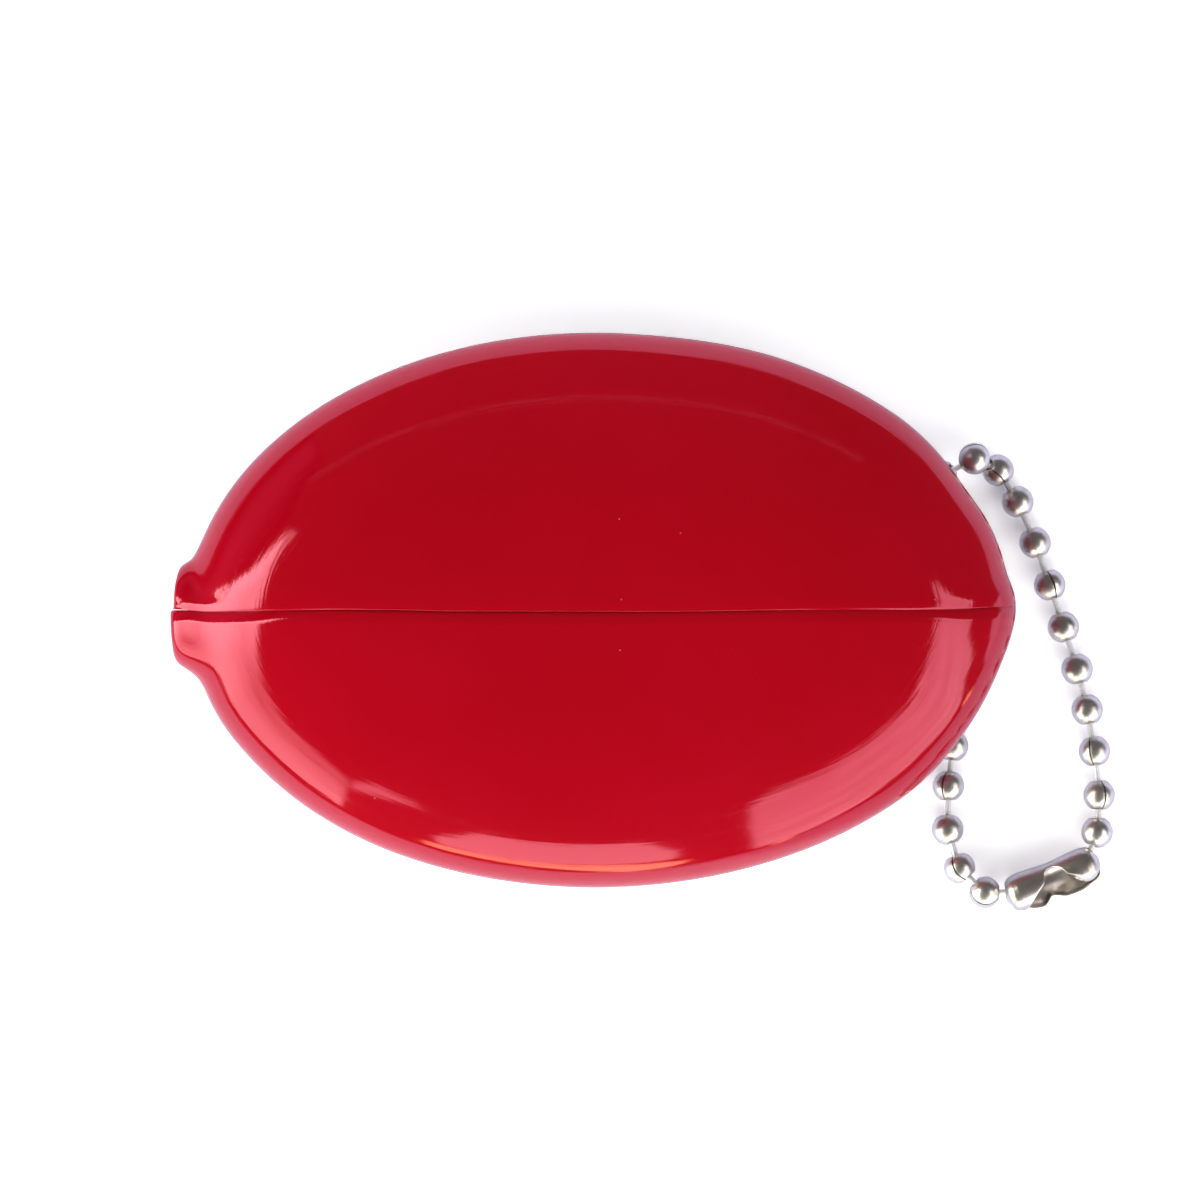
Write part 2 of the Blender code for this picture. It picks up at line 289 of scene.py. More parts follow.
def add_object(name, data):
    made = bpy.data.objects.new(name, data)
    bpy.context.scene.collection.objects.link(made)
    return made


def grid_object(name, grid, body, maps, inside=None, wrap_rows=False):
    """Closed surface over a grid whose columns wrap round.

    The rows wrap too, or end in rows whose points coincide and are merged into poles. maps holds
    a U and V value for each point, and inside marks the points that get the second material.
    """
    rows, columns = grid.shape[:2]
    index = np.arange(rows * columns).reshape(rows, columns)
    if wrap_rows:
        index = np.vstack([index, index[:1]])
    after = np.roll(index, -1, axis=1)
    quads = np.stack([index[:-1], after[:-1], after[1:], index[1:]], axis=-1).reshape(-1, 4)
    points = grid.reshape(-1, 3) * MM
    corners = points[quads]
    across = np.cross(corners[:, 2] - corners[:, 0], corners[:, 3] - corners[:, 1])
    if (corners.mean(axis=1) * across).sum() < 0:
        quads = quads[:, ::-1]
    mesh = bpy.data.meshes.new(name)
    mesh.from_pydata(points.tolist(), [], quads.tolist())
    layer = mesh.uv_layers.new(name="skin")
    layer.data.foreach_set("uv", maps.reshape(-1, 2)[quads.reshape(-1)].reshape(-1))
    if inside is not None:
        dull = inside.reshape(-1)[quads].all(axis=1)
        mesh.polygons.foreach_set("material_index", dull.astype(np.int32))
    build = bmesh.new()
    build.from_mesh(mesh)
    bmesh.ops.remove_doubles(build, verts=build.verts, dist=1e-7)
    bmesh.ops.dissolve_degenerate(build, edges=build.edges, dist=1e-8)
    build.to_mesh(mesh)
    build.free()
    mesh.shade_smooth()
    mesh.set_sharp_from_angle(angle=math.radians(SHARP_EDGE))
    made = add_object(name, mesh)
    if body:
        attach(made, body)
    return made


# Pouch


def outline_shares():
    """Places along the pouch from -1 to 1, evenly round the rim but finer near both tips.

    The turn from the left tip to the right one is a sum of a straight line and two smooth bends,
    so steps shrink by the fine shares at the ends.
    """
    even = np.linspace(0, 1, SKIN_STEPS)
    left = FINE_LEFT * bell(even, 0, FINE_LEFT_WIDTH)
    right = FINE_RIGHT * bell(1 - even, 0, FINE_RIGHT_WIDTH)
    pace = 1 - left - right
    run = np.concatenate([[0], np.cumsum((pace[1:] + pace[:-1]) / 2)])
    return -np.cos(math.pi * run / run[-1])


def reach_at(along, inset):
    """Half length of the pouch on the side of the slit's middle that a point is on."""
    return np.where(along > 0, TIP_REACH, NECK_END_REACH) - inset


def level_and_turn(along, across):
    """Which level line a plan point is on, and the cosine of its turn round the pouch.

    along and across are shares of the half length and half width. On the level line of share s,
    a point is at along = sqrt(s) cos(turn), across = s sin(turn), which is solved for s.
    """
    level = (along**2 + np.sqrt(along**4 + 4 * across**2)) / 2
    return level, along / np.sqrt(np.maximum(level, 1e-12))


def tip_narrowing(cosine):
    """Share of the width that is kept towards the tip at the chain's end."""
    towards = np.maximum(0, (cosine - TIP_START) / (1 - TIP_START))
    return 1 - TIP_NARROWING * towards**3


def back_surface(along, side_way, inset):
    """Dome over the rim: height = rise * sqrt(1 - level^2); side_way runs from slit to rim."""
    across = np.sqrt(np.maximum(0, 1 - along**2)) * side_way
    level, cosine = level_and_turn(along, across)
    width = (HALF_WIDTH - inset) * across * tip_narrowing(cosine)
    rise = (CROWN_HEIGHT - RIM_HEIGHT - inset) * np.sqrt(np.maximum(0, 1 - level**2))
    return stack(reach_at(along, inset) * along, width, RIM_HEIGHT + rise), level, cosine


def push_nub(points, notch):
    """Draw the left end out to the upright cut face of the stub, inside a rounded oblong.

    The radius of a point is 1 on the oblong's outline: hypot(side share ^ power, height share).
    With the face inside it and the foot outside, x = foot + (face - foot) / (1 + radius^edge),
    and both powers go over from the lower half's to the upper half's. The foot moves out by a
    share of the reach that falls off as a power of the radius too. The cut face keeps part of
    the rim's curve as seen from above, and points in the notch stay where they are.
    """
    x, y, z = np.moveaxis(points, -1, 0)
    side_power = between(NUB_SIDE_POWER_LOWER, NUB_SIDE_POWER_UPPER, ramp(y, -1.0, 1.0))
    side_way = (np.abs(y - NUB_SIDE_SHIFT) / NUB_HALF_WIDTH) ** side_power
    radius = np.hypot(side_way, (z - RIM_HEIGHT) / NUB_HALF_HEIGHT)
    upper = ramp(y, -0.3, 0.3)
    edge = between(NUB_EDGE_POWER_LOWER, NUB_EDGE_POWER_UPPER, ramp(y, 0.6, 2.6))
    reach = between(NUB_PUSH_LOWER, NUB_PUSH_UPPER, upper)
    foot = x - NUB_FOOT_PUSH * reach / (1 + (radius / NUB_FOOT_SHARE) ** NUB_FOOT_POWER)
    rim_curve = between(0.5, 1, upper) * y**2 * NECK_END_REACH / (2 * HALF_WIDTH**2)
    face = rim_curve - NECK_END_REACH - reach
    drawn = foot + (face - foot) / (1 + radius**edge)
    return stack(np.where((x < 0) & ~notch, drawn, x), y, z)


def part_lips(points, side):
    """Spread the lips of the slit at the end of the stub, so the table shows between them."""
    x, y, z = np.moveaxis(points, -1, 0)
    spread = LIP_SPREAD * ramp(-x, 38.0, 39.6) * (1 - ramp(np.abs(y), 0, 1.6))
    return stack(x, y + side * spread, z)


def settle(points):
    """Give the soft moulding the small unevenness of the real one.

    The slit wanders off the middle as a hand-held knife does. The lower half is a little fuller
    towards the stub, and the upper half is fuller towards the chain and leaner towards the stub.
    The tip bulges out, except for a dent on its upper side, and so do the flanks beside it and
    the lower flank by the stub.
    """
    x, y, z = np.moveaxis(points, -1, 0)
    wander = trace(x, SLIT_WANDER) * (1 - ramp(np.abs(y), 0, SLIT_WANDER_WIDTH))
    lower = FULLER_SIDE + FULLER * ramp(-x, 5, 34)
    upper = FULLER * ramp(x, 4, 20) - LEANER * ramp(-x, 8, 38)
    fuller = np.where(y < 0, lower, upper) * (y / HALF_WIDTH)
    flank_lower = BULGE * bell(y, -10.5, 4) * np.sign(x)
    flank_upper = np.where(x > 0, BULGE_UPPER * bell(y, 8.6, 2.6), 0)
    flank = ramp(np.abs(x), 28, 36) * (flank_lower + flank_upper)
    tip = BULGE * ramp(x, 36, 41) - BULGE * ramp(x, 36, 40.5) * bell(y, 3.2, 1.7)
    return stack(x + tip + flank, y + wander + fuller, z)


def sag_lip(points, side):
    """Let the lip bend down over its last millimetre, as a soft edge does; the lower one more."""
    x, y, z = np.moveaxis(points, -1, 0)
    near = np.maximum(0, 1 - np.abs(y) / LIP_SAG_WIDTH)
    depth = LIP_SAG * near**1.5 if side < 0 else LIP_SAG_UPPER * near**2
    return stack(x, y, z - depth)


def lip_round(along, side):
    """Radius of the lip's edge: small in the middle, larger on the upper lip along both flanks.

    The lower lip is cut at a slant near the stub, so it shows there.
    """
    x = reach_at(along, 0) * along
    if side < 0:
        return LIP_ROUND_LOWER + LIP_CHAMFER * ramp(-x, 37.6, 39.4)
    flanks = (ramp(-x, 20, 26) + ramp(x, 15, 20)) * (1 - ramp(np.abs(x), 33, 37))
    return between(LIP_ROUND, LIP_ROUND_FAR, flanks)


def rolled_lip(along, start, bend):
    """Quarter circle from the cut face of the slit up to the dome, at start of the way across.

    Its points are over + bend (down (1 - cos turn) - y sin turn). down is square to the way
    that the edge of the dome runs, found from two places close by.
    """
    step = 1e-4
    over, _, _ = back_surface(along, start, 0)
    ahead, _, _ = back_surface(np.clip(along + step, -1, 1), start, 0)
    behind, _, _ = back_surface(np.clip(along - step, -1, 1), start, 0)
    run = ahead - behind
    down = np.concatenate([run[..., 2:], 0 * run[..., 1:2], -run[..., :1]], axis=-1)
    down /= np.maximum(np.linalg.norm(down, axis=-1, keepdims=True), 1e-12)
    turn = np.linspace(math.pi / 2, 0, LIP_STEPS + 1)[None, :-1, None]
    sideways = np.array([0, 1, 0]) * np.sin(turn)
    return over + bend[..., None] * (down * (1 - np.cos(turn)) - sideways)


def back_skin(name, side):
    """Half of the back: one closed loop round the wall at each place along the pouch.

    The loop runs from the cut face over the rounded lip, across the outside to the rim, under the
    rim and back along the inside. All of it shrinks to one edge at each tip. Its steps across
    are sin(90 e (0.42 + 0.58 e)) for an even share e, so they are closer by the lip and the rim.
    """
    along = outline_shares()[:, None]
    rim_width = HALF_WIDTH * np.sqrt(np.maximum(0, 1 - along**2))
    room = rim_width / (rim_width + TIP_ROOM)
    gap = LIP_GAP * room
    bend = np.minimum(lip_round(along, side), LIP_SHARE * rim_width) * room
    even = np.linspace(0, 1, ACROSS_STEPS)[None, :]
    steps = np.sin(math.pi / 2 * even * (0.42 + 0.58 * even))
    start = (gap + bend) / np.maximum(rim_width, 1e-9)
    outside, level, cosine = back_surface(along, start + (1 - start) * steps, 0)
    lip = rolled_lip(along, start, bend)
    inner_start = gap / np.maximum(rim_width, 1e-9)
    inner_steps = np.sin(np.linspace(math.pi / 2, 0, INSIDE_STEPS))[None, :]
    inner_way = inner_start + (1 - inner_start) * inner_steps
    within, inner_level, inner_cosine = back_surface(along, inner_way, WALL)
    outer = np.concatenate([lip, outside], axis=1)
    outer = push_nub(part_lips(outer, 1) * [1, side, 1], np.zeros(outer.shape[:2], bool))
    outer = sag_lip(outer, side)
    band = outer[:, -1:] - stack(0, 0, SEAM_BAND * room)
    grid = settle(np.concatenate([outer, band, within * [1, side, 1]], axis=1))
    lip_level = np.repeat(level[:, :1], LIP_STEPS, axis=1)
    lip_cosine = np.repeat(cosine[:, :1], LIP_STEPS, axis=1)
    levels = np.concatenate([lip_level, level, level[:, -1:], inner_level], axis=1)
    cosines = np.concatenate([lip_cosine, cosine, cosine[:, -1:], inner_cosine], axis=1)
    inside = np.zeros(grid.shape[:2], bool)
    inside[:, -INSIDE_STEPS:] = True
    made = grid_object(name, grid, None, skin_map(levels, cosines, side), inside)
    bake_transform(made)
    return made


def skin_map(levels, cosines, side):
    """Map of the vinyl, in centimetres: U is the turn round the pouch, V the way in from the rim."""
    turns = side * np.arccos(np.clip(cosines, -1, 1))
    return stack(MAP_ROUND * turns, MAP_INWARD * (1 - levels))


def front_surface(level, turn, height, inset):
    """Point on a level line: x = reach sqrt(level) cos(turn), y = width level sin(turn)."""
    cosine, sine = np.cos(turn), np.sin(turn)
    reach = reach_at(cosine, inset)
    width = (HALF_WIDTH - inset) * tip_narrowing(cosine)
    return stack(reach * cosine * np.sqrt(level), width * sine * level, height)


def front_profile(count, flat_count, floor_height):
    """Levels and heights from the middle of the rest face out over its edge and up to the rim."""
    flat = REST_SHARE * np.linspace(0, 1, flat_count + 1)[:-1] ** 2
    slope = np.linspace(0, math.pi / 2, count)
    rise = 1 - np.maximum(0, np.cos(slope)) ** FRONT_POWER
    levels = np.concatenate([flat, REST_SHARE + (1 - REST_SHARE) * np.sin(slope)])
    top_height = RIM_HEIGHT - SEAM_GAP
    heights = np.concatenate([0 * flat, rise]) * (top_height - floor_height) + floor_height
    return levels[:, None], heights[:, None]


def front_skin():
    """Front panel and side wall: level lines from the rest face to the rim and back inside.

    Points on the slit's line at the stub's end are a notch, which isn't drawn out.
    """
    upper = np.arccos(outline_shares())
    turn = np.concatenate([upper, -upper[::-1][1:-1]])[None, :]
    levels, heights = front_profile(FRONT_STEPS, 6, 0)
    outer = front_surface(levels, turn, heights, 0)
    notch = (np.abs(turn - math.pi) < 1e-9) & (levels > 0)
    outer = push_nub(part_lips(outer, np.sign(np.round(outer[..., 1], 9))), notch)
    band = outer[-1:] + stack(0, 0, SEAM_BAND)
    inner_levels, inner_heights = front_profile(INSIDE_STEPS, 4, WALL)
    within = front_surface(inner_levels[::-1], turn, inner_heights[::-1], WALL)
    grid = settle(np.concatenate([outer, band, within]))
    all_levels = np.concatenate([levels, levels[-1:], inner_levels[::-1]])
    cosines = np.broadcast_to(np.cos(turn), grid.shape[:2])
    sides = np.where(np.sin(turn) < 0, -1, 1)
    maps = skin_map(all_levels, cosines, sides)
    inside = np.zeros(grid.shape[:2], bool)
    inside[-within.shape[0]:] = True
    return grid_object("front_skin", grid, "front", maps, inside)


def chain_lug():
    """Rounded ring under the tip round the chain's bead, with a gusset up to the wall.

    Its section is an oblong between the hole's radius and the ring's outer radius, with |cos|
    and |sin| to a power for its rounded corners. The gusset is a bell on the outer radius.
    """
    middle = JOINT_PLACE["chain_lift"]
    turn = np.linspace(0, math.tau, 97)[:-1, None]
    section = np.linspace(0, math.tau, 41)[None, :-1]
    outer_radius = LUG_RADIUS + GUSSET_REACH * bell(turn, GUSSET_TURN, GUSSET_WIDTH)
    radial = np.sign(np.cos(section)) * np.abs(np.cos(section)) ** LUG_ROUNDNESS
    thick = np.sign(np.sin(section)) * np.abs(np.sin(section)) ** LUG_ROUNDNESS
    radius = (LUG_HOLE_RADIUS + outer_radius) / 2 + (outer_radius - LUG_HOLE_RADIUS) / 2 * radial
    grid = middle + stack(radius * np.cos(turn), LUG_HALF_THICKNESS * thick, radius * np.sin(turn))
    return grid_object("chain_lug", grid, "front", stack(turn, section), wrap_rows=True)


# Ball chain


def chain_places():
    """Bead centres: a link's middle is halfway between its two beads, walked from the lug bead."""
    count = sum(1 for node in BODY_OF if node.startswith("link_"))
    middles = {}
    for number in range(1, count + 1):
        low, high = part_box(f"link_{number:02d}")
        middles[number] = (np.array(low) + np.array(high)) / 2 / MM
    numbers = range(1, count + 2)
    lug_bead = next(number for number in numbers if BODY_OF[f"bead_{number:02d}"] == "chain_lift")
    places = {lug_bead: JOINT_PLACE["chain_lift"]}
    for number in range(lug_bead, count + 1):
        places[number + 1] = 2 * middles[number] - places[number]
    for number in range(lug_bead - 1, 0, -1):
        places[number] = 2 * middles[number] - places[number + 1]
    return places


def unit(vector):
    return vector / np.linalg.norm(vector)


def axes_along(axis):
    """A side, an upward and the given direction, square to each other."""
    side = unit(np.cross(axis, [0, 0, 1]))
    return side, np.cross(side, axis), axis


def round_axis(radius, turn, height, axes):
    """Points at a radius and a turn from up towards the side, at a height along the axis."""
    side, up, axis = axes
    flat = (radius * np.cos(turn))[..., None] * up + (radius * np.sin(turn))[..., None] * side
    return flat + (height + 0 * turn)[..., None] * axis


def turn_about(points, axis, angle):
    """Rodrigues' formula, with an angle for each point."""
    cosine, sine = np.cos(angle)[..., None], np.sin(angle)[..., None]
    along = (points @ axis)[..., None] * axis
    return points * cosine + np.cross(axis, points) * sine + along * (1 - cosine)


def bead_profile(hole_radius):
    """Closed section of the rolled sheet: outside, round the edge of one hole, inside and back."""
    middle_radius = BEAD_RADIUS - BEAD_WALL / 2
    hole = math.asin(hole_radius / middle_radius)
    outside = np.linspace(hole, math.pi - hole, 37)
    inside = np.linspace(math.pi - hole, hole, 15)
    roll = np.linspace(0, math.pi, 7)[1:-1]
    parts = []
    for turn, radius, ends in ((outside, BEAD_RADIUS, 1), (inside, BEAD_RADIUS - BEAD_WALL, -1)):
        parts.append(np.stack([radius * np.sin(turn), radius * np.cos(turn)], axis=-1))
        end = turn[-1]
        out = np.array([math.sin(end), math.cos(end)])
        past = ends * np.array([math.cos(end), -math.sin(end)])
        rolled = np.cos(roll)[:, None] * out * ends + np.sin(roll)[:, None] * past
        parts.append(middle_radius * out + BEAD_WALL / 2 * rolled)
    return np.concatenate(parts)


def bead(number, places):
    """Bead rolled from sheet, with holes that face its two links and a seam from hole to hole.

    The profile is turned about the bead's axis and shrunk by a narrow bell at the seam. Where
    the chain bends, each half is turned towards its own link. A seam that doesn't show lies
    within 50 degrees of the bead's underside.
    """
    here = places[number]
    to_next = unit(places[number + 1] - here) if number + 1 in places else None
    to_last = unit(places[number - 1] - here) if number - 1 in places else None
    to_next = -to_last if to_next is None else to_next
    to_last = -to_next if to_last is None else to_last
    axes = axes_along(unit(to_next - to_last))
    seam = math.radians(SEAM_TURNS.get(number, 180 + 50 * math.sin(number)))
    turn = np.concatenate([SEAM_STEPS, np.linspace(0.15, math.tau - 0.15, 44)])
    turn = seam + turn[None, :]
    profile = bead_profile(FREE_HOLE_RADIUS if number == FREE_BEAD else BEAD_HOLE_RADIUS)
    radius, height = profile[:, :1], profile[:, 1:]
    outer = np.hypot(radius, height) > BEAD_RADIUS - BEAD_WALL / 2
    groove = BEAD_SEAM_DEPTH * bell((turn - seam) * BEAD_RADIUS, 0, BEAD_SEAM_HALF_WIDTH)
    shrink = 1 - groove / BEAD_RADIUS * outer
    points = round_axis(radius * shrink, turn, height * shrink, axes)
    bend_axis = np.cross(axes[2], to_next)
    bend = np.linalg.norm(bend_axis)
    if bend > 1e-9:
        angle = math.asin(bend) * height * shrink / BEAD_RADIUS
        points = turn_about(points, bend_axis / bend, angle)
    maps = stack((turn - seam) / math.tau, np.linspace(0, 1, len(profile))[:, None])
    node = f"bead_{number:02d}"
    made = grid_object(f"ball_{number:02d}", points + here, BODY_OF[node], maps, wrap_rows=True)
    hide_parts(node)
    return made


def link(number, places):
    """Wire between two beads with a domed head inside each: a profile turned about its axis.

    The link at the loop's open pivot has smaller heads that sit deeper, so that it can slide.
    """
    start, end = places[number], places[number + 1]
    free = number == FREE_LINK
    reach = np.linalg.norm(end - start) / 2 - (FREE_HEAD_DEPTH if free else HEAD_DEPTH)
    head = FREE_HEAD_RADIUS if free else HEAD_RADIUS
    neck = reach - HEAD_THICKNESS
    dome = np.linspace(0, math.pi / 2, 6)
    shoulder_radius = [head, WIRE_RADIUS + WIRE_FILLET, WIRE_RADIUS]
    shoulder_height = [neck + HEAD_EDGE, neck, neck - WIRE_FILLET]
    head_radius = np.concatenate([head * np.sin(dome), shoulder_radius])
    head_height = np.concatenate([reach + HEAD_DOME * np.cos(dome) - HEAD_DOME, shoulder_height])
    radius = np.concatenate([head_radius, head_radius[::-1]])[:, None]
    height = np.concatenate([head_height, -head_height[::-1]])[:, None]
    turn = np.linspace(0, math.tau, 25)[None, :-1]
    points = round_axis(radius, turn, height, axes_along(unit(end - start))) + (start + end) / 2
    maps = stack(turn / math.tau, height / reach)
    node = f"link_{number:02d}"
    made = grid_object(f"wire_{number:02d}", points, BODY_OF[node], maps)
    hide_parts(node)
    return made


def connector(places):
    """Snap connector: folded sheet with a cup over each end bead and an open trough between.

    At each place along it the section is an arc of a circle from the upper flange's edge, over
    the top, round the back and under to the lower flange's edge, which flares out. The edges of
    the sheet are rounded, and the loop runs out along the outside and back along the inside.
    """
    first, last = places[1], places[max(places)]
    axis = unit(first - last)
    side = unit(np.array([axis[1], -axis[0], 0]))
    up = np.cross(side, axis)
    up = up if up[2] > 0 else -up
    half = CONNECTOR_HALF_LENGTH
    even = np.linspace(-1, 1, 141)
    along = half * np.sin(even * math.pi / 2) * 0.35 + half * even * 0.65
    radius = smooth(trace(np.abs(along), CONNECTOR_RADIUS), 1)[:, None]
    start = np.radians(smooth(trace(along, CONNECTOR_UPPER_EDGE), 2))[:, None]
    finish = np.radians(smooth(trace(along, CONNECTOR_LOWER_EDGE), 3))[:, None] - math.tau
    flare = smooth(trace(along, CONNECTOR_FLARE), 4)[:, None]
    share = np.linspace(0, 1, CONNECTOR_STEPS)[None, :]
    edge_turn = np.linspace(0, math.pi, CONNECTOR_EDGE_STEPS + 2)[None, 1:-1]
    arc = start + (finish - start) * share
    past = np.sin(edge_turn) * CONNECTOR_SHEET / 2 / radius
    turns = np.concatenate([arc, finish - past, arc[:, ::-1], start + past[:, ::-1]], axis=1)
    shares = np.concatenate([share, 1 + 0 * edge_turn, share[:, ::-1], 0 * edge_turn], axis=1)
    into, out_of = (1 - np.cos(edge_turn)) / 2, (1 + np.cos(edge_turn)) / 2
    depth = np.concatenate([0 * share, into, 1 + 0 * share, out_of], axis=1)
    local_radius = radius + flare * ramp(shares, 0.8, 1.0) - CONNECTOR_SHEET * depth
    points = round_axis(local_radius, turns, along[:, None], (side, up, axis)) + (first + last) / 2
    points = np.concatenate([cap_line(points[:1]), points, cap_line(points[-1:])])
    maps = stack(turns, along[:, None])
    maps = np.concatenate([maps[:1], maps, maps[-1:]])
    made = grid_object("folded_connector", points, BODY_OF["chain_connector"], maps)
    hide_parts("chain_connector")
    return made


def cap_line(loops):
    """Middle line of the sheet's end: each point goes halfway to the one across the sheet.

    Across the sheet, the outside and the inside run in opposite ways, and so does each edge.
    """
    index = np.arange(loops.shape[1])
    inside_start = CONNECTOR_STEPS + CONNECTOR_EDGE_STEPS
    inside_end = inside_start + CONNECTOR_STEPS
    outer, first_edge = index[:CONNECTOR_STEPS], index[CONNECTOR_STEPS:inside_start]
    inner, last_edge = index[inside_start:inside_end], index[inside_end:]
    across = np.concatenate([inner[::-1], first_edge[::-1], outer[::-1], last_edge[::-1]])
    return (loops + loops[:, across]) / 2


# Materials


class Wire:
    """An output socket; arithmetic on it adds Math nodes."""

    def __init__(self, nodes, socket):
        self.nodes = nodes
        self.socket = socket

    def math(self, operation, *values):
        return self.nodes.add("Math", {"operation": operation}, dict(enumerate(values)))

    def __add__(self, other):
        return self.math("ADD", self, other)

    def __sub__(self, other):
        return self.math("SUBTRACT", self, other)

    def __rsub__(self, other):
        return self.math("SUBTRACT", other, self)

    def __mul__(self, other):
        return self.math("MULTIPLY", self, other)

    def __pow__(self, other):
        return self.math("POWER", self, other)

    __radd__ = __add__
    __rmul__ = __mul__

    def above(self, low, high):
        """0 below low and 1 above high, with a smooth step between."""
        settings = {"interpolation_type": "SMOOTHSTEP"}
        return self.nodes.add("MapRange", settings, {"Value": self, "From Min": low, "From Max": high})

    def size(self):
        return self.math("ABSOLUTE", self)

    def other(self, output):
        """Another output of the same node."""
        return Wire(self.nodes, self.socket.node.outputs[output])


class Nodes:
    """A node tree being wired up."""

    def __init__(self, owner):
        owner.use_nodes = True
        self.tree = owner.node_tree
        self.tree.nodes.clear()

    def add(self, kind, settings=None, inputs=None, output=0):
        """Add a node: settings first, then the values or links of its sockets."""
        node = self.tree.nodes.new("ShaderNode" + kind)
        for name, value in (settings or {}).items():
            setattr(node, name, value)
        for name, value in (inputs or {}).items():
            if isinstance(value, Wire):
                self.tree.links.new(value.socket, node.inputs[name])
            else:
                node.inputs[name].default_value = value
        if not node.outputs:
            return node
        return Wire(self, node.outputs[output])

    def mix(self, factor, first, second):
        return self.add("Mix", {"data_type": "RGBA"}, {0: factor, 6: first, 7: second}, output=2)

    def place(self, output="Object"):
        return self.add("TexCoord", None, None, output)

    def map(self, name):
        """U of a map; its V is the Y output."""
        return self.add("SeparateXYZ", None, {0: self.add("UVMap", {"uv_map": name})})

    def noise(self, place, scale, detail=2.0, roughness=0.5):
        inputs = {"Vector": place, "Scale": scale, "Detail": detail, "Roughness": roughness}
        return self.add("TexNoise", None, inputs)

    def bump(self, height):
        """Normal for a height in units of 0.01 mm."""
        inputs = {"Strength": 1.0, "Distance": BUMP_UNIT, "Height": height}
        return self.add("Bump", None, inputs)

    def surface(self, colour, rough, normal, constants):
        """End the tree in a Principled shader."""
        inputs = {"Base Color": colour, "Roughness": rough, "Normal": normal, **constants}
        shader = self.add("BsdfPrincipled", None, inputs)
        self.add("OutputMaterial", None, {"Surface": shader})


def rgb(red, green, blue):
    return (red, green, blue, 1.0)


def vinyl(name, rough_least, bounce=None):
    """Glossy moulded vinyl: deep red, flow lines along the level lines, waves and dust.

    bounce is a painted colour that stands in for its own red to light that spreads and, at half
    share, to reflections; it dims the red light thrown on its surroundings and its reflection in the
    metal.
    """
    made = bpy.data.materials.new(name)
    nodes = Nodes(made)
    place = nodes.place()
    around = nodes.map("skin")
    inward = around.other("Y")
    lines_place = nodes.add("CombineXYZ", None, {0: around * 0.55, 1: inward * 26.0})
    lines = nodes.noise(lines_place, 1.0, 3.0, 0.6)
    waves = nodes.noise(place, 110.0, 2.0, 0.4)
    grain = nodes.noise(place, 5200.0, 1.0, 0.5)
    speckle = nodes.noise(place, 2600.0, 2.0, 0.7).above(0.52, 0.72)
    patch = nodes.noise(place, 60.0, 2.0, 0.5)
    edge_zone = 1 - inward.above(0.9, 1.9)
    cells = nodes.add("TexVoronoi", {"voronoi_dimensions": "3D"}, {"Vector": place, "Scale": 330.0})
    chosen = nodes.add("SeparateColor", None, {0: cells.other("Color")})
    dust = (1 - cells.above(0.018, 0.034)) * chosen.above(0.72, 0.74)
    deep = nodes.mix(patch.above(0.3, 0.7), rgb(*VINYL_COOL), rgb(*VINYL_WARM))
    colour = nodes.mix(dust * 0.5, deep, rgb(*VINYL_DUST))
    # painted bounce and reflection: grey in place of the red for light that spreads, and half of it for
    # reflections
    if bounce:
        spread = nodes.add("LightPath", None, None, "Is Diffuse Ray")
        colour = nodes.mix(spread + spread.other("Is Glossy Ray") * 0.5, colour, rgb(*bounce))
    height = lines * edge_zone * 0.9 + waves * 5.0 + grain * 0.05 + dust * 1.2
    normal = nodes.bump(height)
    rough = lines.above(0.5, 0.8) * edge_zone * 0.05 + speckle * 0.06 + patch * 0.02 + dust * 0.3
    rough = rough + rough_least
    nodes.surface(
        colour, rough, normal, {"Specular IOR Level": 0.95, "Specular Tint": rgb(*VINYL_TINT)}
    )
    return made


def nickel(name, base, rough_low, rough_high, grime, metallic=1.0):
    """Bright nickel plate: slightly wavy sheet, fine scratches, dark dirt in its seams."""
    made = bpy.data.materials.new(name)
    nodes = Nodes(made)
    place = nodes.place()
    waves = nodes.noise(place, 420.0, 2.0, 0.5)
    turned = {"Vector": place, "Rotation": (0.4, 0.2, 0.7), "Scale": (1, 9, 1)}
    scratches = nodes.noise(nodes.add("Mapping", None, turned), 1500.0, 3.0, 0.6)
    cloud = nodes.noise(place, 900.0, 3.0, 0.6)
    around = nodes.map("skin")
    seam = (1 - around.size().above(0.004, 0.014)) * grime
    clouded = rgb(*[CLOUD_SHARE * value for value in base])
    bright = nodes.mix(cloud.above(0.35, 0.65), rgb(*base), clouded)
    colour = nodes.mix(seam, bright, rgb(*DIRT))
    normal = nodes.bump(waves * 2.0 + scratches * 0.2)
    rough = cloud.above(0.3, 0.7) * (rough_high - rough_low) + scratches.above(0.55, 0.8) * 0.08
    nodes.surface(colour, rough + rough_low, normal, {"Metallic": metallic})
    return made


# Room


